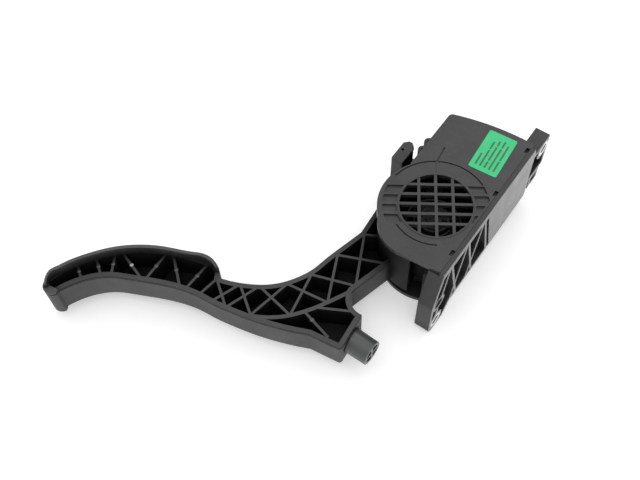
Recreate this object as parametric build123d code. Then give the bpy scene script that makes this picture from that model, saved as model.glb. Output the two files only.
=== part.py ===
from build123d import *
import math
import os

# Accelerator pedal module lying on its side, the way it comes off the bulkhead.
# Everything is drawn about the pivot axis (x = y = 0, z = 0 in the arm's mid-plane)
# and moved at the end so that the origin lies on the mounting face, level with the pivot.
# +X points out of the mounting face, +Y up the car, +Z along the pivot axis.

# Overall layout
WALL_TO_PIVOT = 27.9
BASE_UNDERSIDE = -20.5
COVER_TOP = 40.5
RUN_GAP = 0.3
FIT_GAP = 0.2
BORE_CLEARANCE = 0.04
STRAIGHT = 0.002

# Pedal arm: a ribbed tray open at the top, with a wider foot plate
ARM_HEIGHT = 21.0
ARM_WALL = 2.8
LATTICE_RIB = 1.5
PAD_WIDTH = 35.0
PAD_THICKNESS = 2.0
PAD_CORNER = 9.0
PAD_END_CORNER = 4.0
LIP_HALF_WIDTH = 12.0
ARC_WALL = 2.4
EJECTOR_RADIUS = 1.3
BOSS_CORNER = 2.0
RIM_LINE_DROP = 1.7
RIM_LINE_WIDTH = 0.6
RIM_LINE_DEPTH = 0.5

# Hub: spring cup, bearing tube and the sector drum that closes the arm's root
DRUM_RADIUS = 32.5
DRUM_WALL = 3.0
DRUM_START = 130.0
DRUM_END = 277.0
DRUM_TOP = 31.5
CUP_RADIUS = 21.0
CUP_WALL = 2.2
CUP_TOP = 14.0
TUBE_RADIUS = 9.2
TUBE_TOP = 24.0
HUB_WEB = 3.0
TRAVEL = 15.0
STOP_INNER = 26.0
STOP_OUTER = 31.0
BUMPER_SPAN = 9.0
STOP_SPAN = 12.0

# Pivot shaft, bushes and washers
SHAFT_RADIUS = 5.0
BUSH_RADIUS = 6.6
BUSH_LENGTH = 10.0
WASHER_RADIUS = 9.0
WASHER_THICKNESS = 1.2
CLIP_RADIUS = 7.5
CLIP_GROOVE = 0.6
SHAFT_TAIL = 1.2
SHAFT_SEAT = 1.0
CLIP_OPENING = 40.0

# Return springs and what they stand on
OUTER_COIL = 16.6
OUTER_WIRE = 1.5
OUTER_TURNS = 5
INNER_COIL = 11.4
INNER_WIRE = 1.1
INNER_TURNS = 6
SPRING_HEIGHT = 33.0
COIL_STEPS = 18
COIL_SIDES = 8
SLEEVE_RADIUS = 14.6
SLEEVE_WALL = 1.6
SLEEVE_HEIGHT = 18.0
FRICTION_INNER = 12.5
FRICTION_OUTER = 19.5
FRICTION_THICKNESS = 2.7

# Bracket moulding
FLOOR_WALL = 3.0
BASE_RADIUS = 31.0
SIDE_WALL = 2.5
PLATE_THICKNESS = 3.0
LEDGE_WIDTH = 4.0
TAB_THICKNESS = 9.7
TAB_END = -45.2
TAB_KNEE_Z = 11.5
TAB_CORNER = 5.5
PLATE_CORNER_Y = -36.0
SPINE_LOW_Y = -29.0
SPINE_KNEE = 7.0
TAB_STEP = 3.0
TAB_RAKE = 0.8
PLATE_TOP_Y = 69.0
PLATE_EDGE_Z = -11.5
UPPER_TAB_END = 86.9
UPPER_TAB_LOW = 4.5
UPPER_TAB_HIGH = 32.6
UPPER_TAB_ROOT = 3.0
POCKET_FLOOR = 1.6
LATTICE_RIM = 2.2
LATTICE_END_Y = 12.0
PLATE_RIB = 1.7
RIB_PITCH = 18.0
RIB_LEAN = 12.5
CLIP_BLOCK = (71.0, 83.0)
CLIP_BLOCK_LOW = -6.5
CLIP_BLOCK_DEPTH = 6.0
CLIP_SLOT = 2.4

# Fixing holes in the mounting face, as (y, z)
UPPER_BOLT = (80.8, 25.6)
LOWER_BOLT = (-37.6, -12.2)
LOCATOR = (-36.9, 8.2)
SLEEVE_OUTER = 5.2
BOLT_HOLE = 3.3
UPPER_COLLAR = 7.4
LOWER_COLLAR = 6.8
LOCATOR_HOLE = 4.0
LOCATOR_COLLAR = 6.0

# Sensor chamber beside the hub
CHAMBER_LEFT = -27.8
CHAMBER_LOW_Y = 22.0
CHAMBER_SLOPE = 8.0
CHAMBER_BOW = 2.3
CHAMBER_CORNER = 3.0
HUB_ROOM = 34.0
CUP_ROOM = 1.2
SEAL_HEIGHT = 1.0
SEAL_EDGE = 0.2
BOARD_Z = 6.0
BOARD_THICKNESS = 1.6
BOARD_LOW_Y = 41.5
BOARD_INSET = 3.0
TONGUE_WIDTH = 4.4
TONGUE_LOW_Y = 31.0
POST_RADIUS = 2.4
CHIP = (5.0, 4.0, 1.8)
CHIP_SPACING = 10.0
CHIP_Y = 45.5
FINGER_WIDTH = 9.0
FINGER_THICKNESS = 4.0
FINGER_REACH = 49.0
FINGER_ANGLE = 82.5
FINGER_LIFT = 4.0
FINGER_ROOM = 1.5
WINDOW_MARGIN = 2.0
MAGNET = (6.0, 6.0, 3.0)
MAGNET_REACH = 44.0
LUG_RADIUS = 3.0
LUG_HOLE = 1.1
LUG_Y = (33.0, 40.0)
LUG_TOP = 34.0
LUG_LOW = 18.0

# Connector socket on the chamber's far side
SOCKET_REACH = 15.2
SOCKET_WIDTH = 18.0
SOCKET_HEIGHT = 20.0
SOCKET_WALL = 2.0
SOCKET_Y = 35.5
SOCKET_Z = -8.0
TOWER_TOP = 30.5
TOWER_DEPTH = 7.5
TOWER_LOW_Y = 20.0
TOWER_HIGH_Y = 36.0
TOWER_WALL = 2.0
TOWER_HOLE = 0.9
PIN_SIZE = 0.8
PIN_PITCH = 3.0
PIN_ROWS = (-11.0, -5.0)
PIN_DEPTH = 7.0
TOWER_NIB = 2.6
TOWER_HOLE_SHIFT = (-1.3, 0.6)

# Cover with its round grille
COVER_PLATE = 3.0
COVER_DISC = (-2.0, -2.0)
COVER_DISC_RADIUS = 31.0
COVER_LOW_Y = -35.4
COVER_NOSE = [(-24.1, -23.5), (-19.4, -30.8), (-14.3, -35.1), (-9.0, -37.5), (-3.0, -38.4)]
COVER_WAIST_Y = 16.5
SKIRT_DEPTH = 4.0
SKIRT_WALL = 2.2
SKIRT_SPAN = (150, 245)
GRILLE_RADIUS = 21.05
GRILLE_BAR = 1.7
GRILLE_TILT = 33.0
GRILLE_PITCH_A = 6.65
GRILLE_PITCH_B = 9.75
GRILLE_RING = 1.6
GRILLE_SHIFT = 1.0
POCKET_DEPTH = 1.2
POCKET_REACH = 30.8
POCKET_EDGE = 1.4
GRILLE_LIP = 0.9
LIP_HEIGHT = 0.4
GROOVE_WIDTH = 0.9
GROOVE_DEPTH = 0.9
NEAR_GROOVE_RADIUS = 26.7
NEAR_GROOVE_SPAN = (243, 303)
RIM_GROOVE_RADIUS = 31.0
RIM_GROOVE_SPAN = (61, 172)
RADIAL_ANGLE = 120.5
RADIAL_RIB = 1.2
SLIT_END = (-17.2, 37.0)
NOTCH_Y = (-21.6, 25.9, 62.7)
NOTCH_LENGTH = 4.0
NOTCH_WIDTH = 2.0
NOTCH_DEPTH = 2.0
LABEL_SIZE = (18.0, 30.0)
LABEL_CENTRE = (8.4, 49.6)
LABEL_TILT = 4.0
LABEL_CORNER = 1.2
LABEL_THICKNESS = 0.25

# Stop peg on the arm's boss
PEG_RADIUS = 7.9
PEG_TIP_RADIUS = 7.6
PEG_LENGTH = 13.4
PEG_COLLAR = 8.1
PEG_COLLAR_LENGTH = 1.0
PEG_SEAT = 1.2
PEG_POCKET = 9.0
PEG_WALL = 1.9
PEG_RIB = 1.7
PEG_Y = -81.6
PEG_TURN = -0.5

# Worked-out levels
ARM_TOP = ARM_HEIGHT / 2
ARM_LOW = -ARM_HEIGHT / 2
FLOOR_TOP = BASE_UNDERSIDE + FLOOR_WALL
COVER_UNDER = COVER_TOP - COVER_PLATE
WALL_TOP = COVER_UNDER - SEAL_HEIGHT
WEB_TOP = ARM_LOW + HUB_WEB
PLATE_FRONT = WALL_TO_PIVOT - PLATE_THICKNESS
LEDGE_FRONT = PLATE_FRONT - LEDGE_WIDTH
TAB_FRONT = WALL_TO_PIVOT - TAB_THICKNESS
CLIP_Z = TUBE_TOP + RUN_GAP + WASHER_THICKNESS
SHAFT_TOP = CLIP_Z + WASHER_THICKNESS + SHAFT_TAIL
LATTICE_DEPTH = WALL_TO_PIVOT - CUP_RADIUS - CUP_ROOM - POCKET_FLOOR
SEAT_Z = ARM_LOW - FIT_GAP - WASHER_THICKNESS
LAND_Z = ARM_LOW - FIT_GAP - FRICTION_THICKNESS

MOUNT_FRAME = Location((-WALL_TO_PIVOT, 0, 0))
UP = (Align.CENTER, Align.CENTER, Align.MIN)


def slab(sketch, low, high):
    """Extrude a plan sketch between two heights."""
    return extrude(Plane.XY.offset(low) * sketch, high - low)


def post(radius, low, high, x=0.0, y=0.0):
    return Pos(x, y, low) * Cylinder(radius, high - low, align=UP)


def ring(outer, inner, low, high):
    return post(outer, low, high) - post(inner, low, high)


def sector(inner, outer, start, end):
    """Ring sector in plan, angles in degrees from +X."""
    first = math.radians(start)
    last = math.radians(end)
    outer_arc = CenterArc((0, 0), outer, start, end - start)
    inner_arc = CenterArc((0, 0), inner, start, end - start)
    first_side = Line(
        (inner * math.cos(first), inner * math.sin(first)),
        (outer * math.cos(first), outer * math.sin(first)),
    )
    last_side = Line(
        (inner * math.cos(last), inner * math.sin(last)),
        (outer * math.cos(last), outer * math.sin(last)),
    )
    return make_face([outer_arc, last_side, inner_arc, first_side])


def bar(start, end, width):
    """Straight rib in plan from one point to another, with square ends."""
    run = Vector(*end) - Vector(*start)
    middle = (Vector(*end) + Vector(*start)) * 0.5
    turn = math.degrees(math.atan2(run.Y, run.X))
    return Pos(middle.X, middle.Y) * Rot(0, 0, turn) * Rectangle(run.length + width, width)


def polygon(*points):
    return make_face(Polyline(*points, close=True))


def tangent_at(points, i):
    """Direction at one point of the circle through it and its neighbours."""
    i_mid = min(max(i, 1), len(points) - 2)
    before, middle, after = (Vector(*points[k]) for k in (i_mid - 1, i_mid, i_mid + 1))
    into = middle - before
    out = after - middle
    level = into.normalized() * out.length + out.normalized() * into.length
    level = level.normalized()
    if i == i_mid:
        return level
    chord = (into if i < i_mid else out).normalized()
    return chord * (2 * chord.dot(level)) - level


def arc_between(start, end, turn):
    """Arc whose heading swings by twice the given turn in radians, or a line if that is nothing."""
    if abs(turn) < STRAIGHT:
        return Line(start, end)
    chord = end - start
    left = Vector(-chord.Y, chord.X)
    return ThreePointArc(start, (start + end) * 0.5 - left * (0.5 * math.tan(turn / 2)), end)


def turn_between(first, last):
    """Signed turn in radians from one plan direction to another."""
    return math.atan2(first.X * last.Y - first.Y * last.X, first.dot(last))


def smooth(points, shift=0.0):
    """Chain of tangent arcs through plan points, two to a span, moved sideways by the shift."""
    arcs = []
    headings = [tangent_at(points, i) for i in range(len(points))]
    places = [Vector(*p) + Vector(-t.Y, t.X) * shift for p, t in zip(points, headings)]
    for start, end, first, last in zip(places, places[1:], headings, headings[1:]):
        run = end - start
        along = run.dot(first + last)
        spread = 2 * (1 - first.dot(last))
        reach = run.dot(run) / (math.sqrt(along ** 2 + spread * run.dot(run)) + along)
        joint = (start + end + (first - last) * reach) * 0.5
        arcs.append(arc_between(start, joint, turn_between(first, joint - start)))
        arcs.append(arc_between(joint, end, turn_between(end - joint, last)))
    return arcs


def left_of(x):
    """Half-plane in plan on the -X side of the given line, wide enough for the whole part."""
    return Pos(x, 0) * Rectangle(1000, 1000, align=(Align.MAX, Align.CENTER))


def below(z):
    """Half-plane in (y, z) under the given height, wide enough for the whole part."""
    return Pos(0, z) * Rectangle(1000, 1000, align=(Align.CENTER, Align.MAX))


def back_slab(sketch, front, back):
    """Extrude a sketch drawn in (y, z) between two distances along +X."""
    return extrude(Plane.YZ.offset(front) * sketch, back - front)


# Plan of the pedal arm
ROOT_NEAR = (-16.8, -59.4)
BOSS_TOP = (-3.7, -69.2)
BOSS_LOW = (-1.5, -93.5)
BOSS_START = (-21.3, -96.1)
TIP_NEAR = (-158.6, -158.4)
TIP_FAR = (-168.4, -156.3)
TIP_CURL = (-165.6, -161.0)
LIP_CURL = (-166.2, -161.9)
LIP_END = (-157.6, -159.9)
LIP_ROOT = (-158.4, -157.6)
LIP_INSIDE = (-164.0, -158.5)
PAD_END = (-93.5, -91.9)
PAD_CURL = (-88.4, -93.4)
ARM_SHOULDER = (-86.0, -97.2)
BOSS_CURL = (-13.2, -66.4)
DRUM_KNEE = (-34.8, -24.2)
HUB_NEAR = (-8.0, -27.5)
HUB_INSIDE = (-18.0, 0.0)
HUB_FAR = (-36.6, -2.0)
NEAR_EDGE = [
    TIP_NEAR, (-146.9, -139.2), (-120.5, -123.8), (-98.4, -115.3),
    (-70.7, -111.2), (-48.2, -106.1), BOSS_START,
]
FAR_EDGE = [
    DRUM_KNEE, (-40.4, -45.4), (-46.0, -66.5), (-57.5, -82.6), (-72.0, -92.0), ARM_SHOULDER,
]
FOOT_FACE = [
    PAD_END, (-113.6, -98.0), (-130.4, -105.8), (-144.6, -116.4),
    (-156.3, -130.1), (-165.0, -145.2), TIP_FAR,
]
INNER_ARC = [(-57.0, -106.5), (-39.2, -95.0), (-31.5, -85.7), (-22.6, -70.6), (-16.5, -58.0)]

# Lattice joints along the far wall and along the near wall, from the pad to the hub
FAR_JOINTS = [
    (-86.5, -98.5), (-73.0, -93.5), (-63.0, -88.0), (-50.5, -77.5), (-42.5, -64.5),
    (-37.5, -45.0), (-33.0, -23.0),
]
NEAR_JOINTS = [
    (-88.6, -112.3), (-79.9, -111.5), (-70.6, -110.0), (-55.9, -105.6), (-37.2, -92.8),
    (-24.3, -73.9), (-17.0, -55.9), (-9.5, -33.0),
]
PAD_RIBS = [
    ((-160.5, -139.0), (-153.5, -143.5)), ((-154.5, -129.0), (-145.0, -135.5)),
    ((-147.5, -119.5), (-139.5, -132.5)), ((-145.5, -116.5), (-122.5, -124.0)),
    ((-122.0, -101.5), (-121.0, -123.0)), ((-119.0, -100.0), (-101.0, -115.0)),
    ((-97.0, -92.5), (-97.5, -114.5)),
]
BOSS_RIBS = [((-31.8, -86.2), (-12.0, -91.4)), ((-27.5, -80.1), (-10.5, -71.1))]
BOSS_DOT = (-25.1, -88.0)
ROOT_RIB = ((-35.5, -26.0), (-25.0, -20.4))


def arm_outline():
    """Closed plan outline of the arm from the hub to the tip of the pad."""
    boss = FilletPolyline(BOSS_START, BOSS_LOW, BOSS_TOP, radius=BOSS_CORNER)
    root = Polyline(ROOT_NEAR, HUB_NEAR, HUB_INSIDE, HUB_FAR, DRUM_KNEE)
    edges = smooth(NEAR_EDGE) + smooth(FAR_EDGE) + smooth(FOOT_FACE)
    edges += boss.edges() + root.edges()
    edges.append(ThreePointArc(BOSS_TOP, BOSS_CURL, ROOT_NEAR))
    edges.append(ThreePointArc(ARM_SHOULDER, PAD_CURL, PAD_END))
    edges.append(ThreePointArc(TIP_FAR, TIP_CURL, TIP_NEAR))
    return make_face(edges)


def strip(points, first_shift, last_shift):
    """Curved wall in plan that follows a row of points between two sideways shifts."""
    one = smooth(points, first_shift)
    other = smooth(points, last_shift)
    ends = [Line(one[0] @ 0, other[0] @ 0), Line(one[-1] @ 1, other[-1] @ 1)]
    return make_face(one + other + ends)


def arm_ribs():
    """Crossed lattice: each far joint ties to the near joints before and after it."""
    ribs = [bar(far, NEAR_JOINTS[i], LATTICE_RIB) for i, far in enumerate(FAR_JOINTS)]
    for i, far in enumerate(FAR_JOINTS[:-1]):
        ribs.append(bar(far, NEAR_JOINTS[i + 2], LATTICE_RIB))
    ribs += [bar(a, b, LATTICE_RIB) for a, b in PAD_RIBS + BOSS_RIBS + [ROOT_RIB]]
    dots = [((a[0] + b[0]) / 2, (a[1] + b[1]) / 2) for a, b in PAD_RIBS]
    ribs += [Pos(*dot) * Circle(EJECTOR_RADIUS) for dot in dots + [BOSS_DOT]]
    ribs.append(strip(INNER_ARC, -ARC_WALL / 2, ARC_WALL / 2))
    return ribs


def foot_plate():
    """Foot plate: the far wall of the pad, wider than the arm, with rounded corners."""
    wall = strip([PAD_CURL] + FOOT_FACE + [TIP_CURL], 0.0, PAD_THICKNESS)
    chord = Vector(*PAD_END) - Vector(*TIP_FAR)
    middle = (Vector(*PAD_END) + Vector(*TIP_FAR)) * 0.5
    side = Vector(-chord.Y, chord.X).normalized()
    face = Plane(origin=middle, x_dir=chord, z_dir=side)
    frame = Rectangle(chord.length + 2 * ARM_WALL, PAD_WIDTH)
    frame = fillet(frame.vertices().group_by(Axis.X)[0], PAD_CORNER)
    frame = fillet(frame.vertices().group_by(Axis.X)[-1], PAD_END_CORNER)
    return slab(wall, -PAD_WIDTH / 2, PAD_WIDTH / 2) & extrude(face * frame, chord.length, both=True)


def tip_lip():
    """Lip of the foot plate that wraps the pad's tip and stands a little proud of the near wall."""
    edges = [ThreePointArc(TIP_FAR, LIP_CURL, LIP_END)]
    edges += Polyline(LIP_END, LIP_ROOT, LIP_INSIDE, TIP_FAR).edges()
    return slab(make_face(edges), -LIP_HALF_WIDTH, LIP_HALF_WIDTH)


def peg_location(along):
    """Frame on the peg's axis, its local z pointing out of the boss."""
    boss_x = (BOSS_TOP[0] + BOSS_LOW[0]) / 2
    return Pos(boss_x, PEG_Y, 0) * Rot(0, 0, PEG_TURN) * Pos(along, 0, 0) * Rot(0, 90, 0)


def hub():
    """Spring cup, bearing tube and sector drum, one moulding with the arm."""
    body = post(CUP_RADIUS, ARM_LOW, CUP_TOP) - post(CUP_RADIUS - CUP_WALL, WEB_TOP, CUP_TOP)
    body += post(TUBE_RADIUS, ARM_LOW, TUBE_TOP)
    plan = sector(CUP_RADIUS - CUP_WALL / 2, DRUM_RADIUS, DRUM_START, DRUM_END)
    drum = slab(plan, ARM_LOW, DRUM_TOP)
    drum -= ring(DRUM_RADIUS - DRUM_WALL, CUP_RADIUS - CUP_WALL, WEB_TOP, DRUM_TOP)
    return body + drum


def pedal_arm():
    outline = arm_outline()
    hub_room = post(DRUM_RADIUS - DRUM_WALL / 2, ARM_LOW, ARM_TOP)
    arm = slab(outline - offset(outline, -ARM_WALL), ARM_LOW, ARM_TOP) - hub_room
    arm -= slab(strip(FOOT_FACE, PAD_THICKNESS, 1.2 * ARM_WALL), WEB_TOP, ARM_TOP)
    inside = slab(offset(outline, -ARM_WALL / 2), ARM_LOW, ARM_TOP) - hub_room
    for rib in arm_ribs():
        arm += slab(rib, ARM_LOW, ARM_TOP) & inside
    arm += slab(offset(outline, -ARM_WALL / 2), ARM_LOW, WEB_TOP) - hub_room
    line_top = ARM_TOP - RIM_LINE_DROP
    arm -= slab(outline - offset(outline, -RIM_LINE_DEPTH), line_top - RIM_LINE_WIDTH, line_top)
    seat = peg_location(-ARM_WALL) * Cylinder(PEG_COLLAR, ARM_WALL + PEG_SEAT, align=UP)
    arm += seat
    arm += foot_plate()
    arm += tip_lip()
    arm += hub()
    arm -= post(BUSH_RADIUS, ARM_LOW, TUBE_TOP)
    return arm


def stop_peg():
    """Hollow peg with crossed ribs in its end."""
    collar = Cylinder(PEG_COLLAR, PEG_COLLAR_LENGTH, align=UP)
    barrel = Cone(PEG_RADIUS, PEG_TIP_RADIUS, PEG_LENGTH, align=UP)
    hollow = Cylinder(PEG_TIP_RADIUS - PEG_WALL, PEG_POCKET, align=UP)
    hollow -= Box(PEG_RIB, 2 * PEG_RADIUS, PEG_POCKET, align=UP)
    hollow -= Box(2 * PEG_RADIUS, PEG_RIB, PEG_POCKET, align=UP)
    hollow = Pos(0, 0, PEG_LENGTH - PEG_POCKET) * hollow
    return peg_location(PEG_SEAT) * (collar + barrel - hollow)


def round_tab(outline):
    """Rounds the low end of the lower bolt tab in an outline drawn in (y, z)."""
    corner = outline.vertices().sort_by_distance(Vector(TAB_END, BASE_UNDERSIDE))[0]
    return fillet(corner, TAB_CORNER)


def plate_outline():
    """Mounting plate outline in (y, z)."""
    return round_tab(polygon(
        (PLATE_CORNER_Y, COVER_TOP), (TAB_END + TAB_RAKE, TAB_KNEE_Z), (TAB_END, BASE_UNDERSIDE),
        (SPINE_LOW_Y, BASE_UNDERSIDE), (SPINE_LOW_Y + SPINE_KNEE, PLATE_EDGE_Z),
        (PLATE_TOP_Y, PLATE_EDGE_Z),
        (PLATE_TOP_Y, UPPER_TAB_LOW), (UPPER_TAB_END, UPPER_TAB_LOW),
        (UPPER_TAB_END, UPPER_TAB_HIGH), (PLATE_TOP_Y, UPPER_TAB_HIGH),
        (PLATE_TOP_Y - TAB_STEP, COVER_TOP),
    ))


def lower_tab():
    return round_tab(polygon(
        (PLATE_CORNER_Y, COVER_TOP), (TAB_END + TAB_RAKE, TAB_KNEE_Z), (TAB_END, BASE_UNDERSIDE),
        (SPINE_LOW_Y, BASE_UNDERSIDE), (SPINE_LOW_Y, COVER_TOP),
    ))


def upper_tab():
    low = PLATE_TOP_Y - UPPER_TAB_ROOT
    tab = Pos((low + UPPER_TAB_END) / 2, (UPPER_TAB_LOW + UPPER_TAB_HIGH) / 2)
    return tab * Rectangle(UPPER_TAB_END - low, UPPER_TAB_HIGH - UPPER_TAB_LOW)


def clip_block():
    """Block under the upper tab that takes the wiring clip, in (y, z)."""
    low, high = CLIP_BLOCK
    width = UPPER_TAB_LOW - CLIP_BLOCK_LOW
    return Pos((low + high) / 2, CLIP_BLOCK_LOW + width / 2) * Rectangle(high - low, width)


def fixings(radius_upper, radius_lower, radius_locator):
    """Discs at the three fixing holes, in (y, z)."""
    return (
        Pos(*UPPER_BOLT) * Circle(radius_upper)
        + Pos(*LOWER_BOLT) * Circle(radius_lower)
        + Pos(*LOCATOR) * Circle(radius_locator)
    )


def plate_pockets():
    """Pockets between the ribs on the mounting face, in (y, z)."""
    low_end = polygon(
        (TAB_END, COVER_TOP), (LATTICE_END_Y, COVER_TOP), (LATTICE_END_Y + RIB_LEAN, PLATE_EDGE_Z),
        (LATTICE_END_Y + RIB_LEAN, BASE_UNDERSIDE), (TAB_END, BASE_UNDERSIDE),
    )
    field = offset(plate_outline(), -LATTICE_RIM) & low_end & below(COVER_UNDER - LATTICE_RIM)
    field += offset(upper_tab(), -LATTICE_RIM)
    ribs = []
    for step in (-1, 0, 1):
        top_y = -RIB_LEAN * COVER_TOP / (COVER_TOP - PLATE_EDGE_Z) + step * RIB_PITCH
        for lean in (-RIB_LEAN, RIB_LEAN):
            ribs.append(bar((top_y, COVER_TOP), (top_y + lean, PLATE_EDGE_Z), PLATE_RIB))
    ribs.append(bar((LOCATOR[0], LOCATOR[1]), LOWER_BOLT, PLATE_RIB))
    return field - ribs - fixings(UPPER_COLLAR, LOWER_COLLAR, LOCATOR_COLLAR)


def sensor_end(points, edge):
    """Plan of the housing's sensor end: its bowed top joins the plate's side to the given points."""
    far = Vector(CHAMBER_LEFT, PLATE_TOP_Y - CHAMBER_SLOPE)
    near = Vector(edge, PLATE_TOP_Y)
    run = near - far
    crown = (far + near) * 0.5 + Vector(-run.Y, run.X).normalized() * CHAMBER_BOW
    sides = Polyline(far, *points, near)
    plan = make_face([*sides.edges(), ThreePointArc(near, crown, far)])
    corner = plan.vertices().sort_by_distance(far)[0]
    return fillet(corner, CHAMBER_CORNER)


def chamber_box():
    """Sensor end under the cover, square to the plate."""
    return sensor_end([(CHAMBER_LEFT, CHAMBER_LOW_Y), (PLATE_FRONT, CHAMBER_LOW_Y)], PLATE_FRONT)


def chamber_outline():
    """Sensor chamber in plan, hollowed towards the hub."""
    return chamber_box() - Circle(HUB_ROOM)


def board_corners():
    """Board posts, as plan points."""
    left = CHAMBER_LEFT + SIDE_WALL + BOARD_INSET
    right = LEDGE_FRONT - BOARD_INSET
    high = PLATE_TOP_Y - CHAMBER_SLOPE - BOARD_INSET - SIDE_WALL
    return left, right, BOARD_LOW_Y, high


def board_posts(inset):
    left, right, low, high = board_corners()
    return [(x, y) for x in (left + inset, right - inset) for y in (low + inset, high - inset)]


def bracket():
    """Moulded bracket: mounting plate, floor under the hub, chamber walls, posts and bosses."""
    chamber = chamber_outline()
    side = polygon(
        (0, SPINE_LOW_Y), (PLATE_FRONT, SPINE_LOW_Y), (PLATE_FRONT, HUB_ROOM), (0, HUB_ROOM),
    )
    floor = Circle(BASE_RADIUS) + chamber_box() + side
    body = slab(floor & left_of(PLATE_FRONT), BASE_UNDERSIDE, FLOOR_TOP)
    body += slab(chamber - offset(chamber, -SIDE_WALL), BASE_UNDERSIDE, WALL_TOP)
    spine = polygon(
        (SPINE_LOW_Y, BASE_UNDERSIDE), (PLATE_TOP_Y, BASE_UNDERSIDE),
        (PLATE_TOP_Y - TAB_STEP, COVER_UNDER), (SPINE_LOW_Y, COVER_UNDER),
    )
    body += back_slab(spine, LEDGE_FRONT, PLATE_FRONT)
    body -= post(CUP_RADIUS + CUP_ROOM, FLOOR_TOP, COVER_UNDER)
    body += back_slab(plate_outline(), PLATE_FRONT, WALL_TO_PIVOT)
    body += back_slab(lower_tab() & below(COVER_UNDER), TAB_FRONT, PLATE_FRONT)
    body += back_slab(upper_tab(), TAB_FRONT, PLATE_FRONT)
    clip = offset(clip_block(), -CLIP_SLOT)
    body += back_slab(clip_block() - clip, WALL_TO_PIVOT - CLIP_BLOCK_DEPTH, WALL_TO_PIVOT)
    body += ring(FRICTION_OUTER, FRICTION_INNER, BASE_UNDERSIDE, LAND_Z)
    body += post(WASHER_RADIUS, BASE_UNDERSIDE, SEAT_Z)
    rest = rest_angle() - BUMPER_SPAN
    full = full_angle() + BUMPER_SPAN
    body += slab(sector(STOP_INNER, STOP_OUTER, rest - STOP_SPAN, rest), BASE_UNDERSIDE, CUP_TOP)
    body += slab(sector(STOP_INNER, STOP_OUTER, full, full + STOP_SPAN / 2), BASE_UNDERSIDE, CUP_TOP)
    for x, y in board_posts(POST_RADIUS):
        body += post(POST_RADIUS, BASE_UNDERSIDE, BOARD_Z, x, y)
    for y in LUG_Y:
        body += post(LUG_RADIUS, LUG_LOW, LUG_TOP, CHAMBER_LEFT - LUG_RADIUS / 2, y)
        body -= post(LUG_HOLE, LUG_LOW, LUG_TOP, CHAMBER_LEFT - LUG_RADIUS / 2, y)
    body -= back_slab(plate_pockets(), WALL_TO_PIVOT - LATTICE_DEPTH, WALL_TO_PIVOT)
    body -= back_slab(fixings(SLEEVE_OUTER, SLEEVE_OUTER, LOCATOR_HOLE), TAB_FRONT, WALL_TO_PIVOT)
    body -= post(SHAFT_RADIUS, BASE_UNDERSIDE + SHAFT_SEAT, SEAT_Z)
    body -= finger_window()
    body -= pin_slots()
    body -= sensor_seal()
    return body


def finger_window():
    """Slot through the chamber's curved wall for the magnet finger and its travel."""
    half = math.degrees(FINGER_WIDTH / 2 / HUB_ROOM) + WINDOW_MARGIN
    first = FINGER_ANGLE - half
    last = FINGER_ANGLE + TRAVEL + half
    slot = sector(HUB_ROOM - SIDE_WALL, HUB_ROOM + 2 * SIDE_WALL, first, last)
    top = finger_level() + FINGER_THICKNESS
    return slab(slot, finger_level() - FINGER_ROOM, top + FINGER_ROOM)


def pin_positions():
    """Pins as (y, z, row), three to a row."""
    columns = [SOCKET_Y + k * PIN_PITCH for k in (-1, 0, 1)]
    return [(y, z, row) for row, z in enumerate(PIN_ROWS) for y in columns]


def pin_slots():
    slots = Part()
    for y, z, _ in pin_positions():
        slots += Pos(CHAMBER_LEFT + SIDE_WALL / 2, y, z) * Box(4 * SIDE_WALL, PIN_SIZE, PIN_SIZE)
    return slots


def connector_socket():
    """Shroud for the wiring plug, with the latch tower that stands on it."""
    mouth = CHAMBER_LEFT - SOCKET_REACH
    middle = (mouth + CHAMBER_LEFT) / 2
    shroud = Pos(middle, SOCKET_Y, SOCKET_Z) * Box(SOCKET_REACH, SOCKET_WIDTH, SOCKET_HEIGHT)
    inner = Box(SOCKET_REACH, SOCKET_WIDTH - 2 * SOCKET_WALL, SOCKET_HEIGHT - 2 * SOCKET_WALL)
    shroud -= Pos(middle - SOCKET_WALL, SOCKET_Y, SOCKET_Z) * inner
    socket_top = SOCKET_Z + SOCKET_HEIGHT / 2
    depth = TOWER_HIGH_Y - TOWER_LOW_Y
    tower_y = (TOWER_HIGH_Y + TOWER_LOW_Y) / 2
    foot = socket_top - SOCKET_WALL / 2
    tower_x = mouth + TOWER_DEPTH / 2
    tower = Pos(tower_x, tower_y, foot) * Box(TOWER_DEPTH, depth, TOWER_TOP - foot, align=UP)
    tower = chamfer(tower.edges().filter_by(Axis.Z).group_by(Axis.Y)[-1], TOWER_NIB)
    hollow = Box(TOWER_DEPTH, depth - 2 * TOWER_WALL, TOWER_TOP - socket_top - TOWER_WALL, align=UP)
    tower -= Pos(tower_x + TOWER_WALL, tower_y, socket_top) * hollow
    hole_x, hole_y = TOWER_HOLE_SHIFT
    tower -= post(TOWER_HOLE, socket_top, TOWER_TOP, tower_x + hole_x, tower_y + hole_y)
    body = shroud + tower
    for y, z, _ in pin_positions():
        body -= Pos(middle, y, z) * Box(2 * SOCKET_REACH, PIN_SIZE, PIN_SIZE)
    return body


def connector_pins():
    """Square bent pins from the socket's mouth to the underside of the board."""
    pins = []
    tip = CHAMBER_LEFT - SOCKET_REACH + PIN_DEPTH
    ends = (Align.MIN, Align.CENTER, Align.CENTER)
    for y, z, row in pin_positions():
        corner = CHAMBER_LEFT + SIDE_WALL + TONGUE_WIDTH - PIN_SIZE - row * 2 * PIN_SIZE
        low = z - PIN_SIZE / 2
        run = Pos(tip, y, z) * Box(corner - tip, PIN_SIZE, PIN_SIZE, align=ends)
        rise = Pos(corner, y, low) * Box(PIN_SIZE, PIN_SIZE, BOARD_Z - low, align=UP)
        pins.append(run + rise)
    return Compound(pins)


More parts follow.
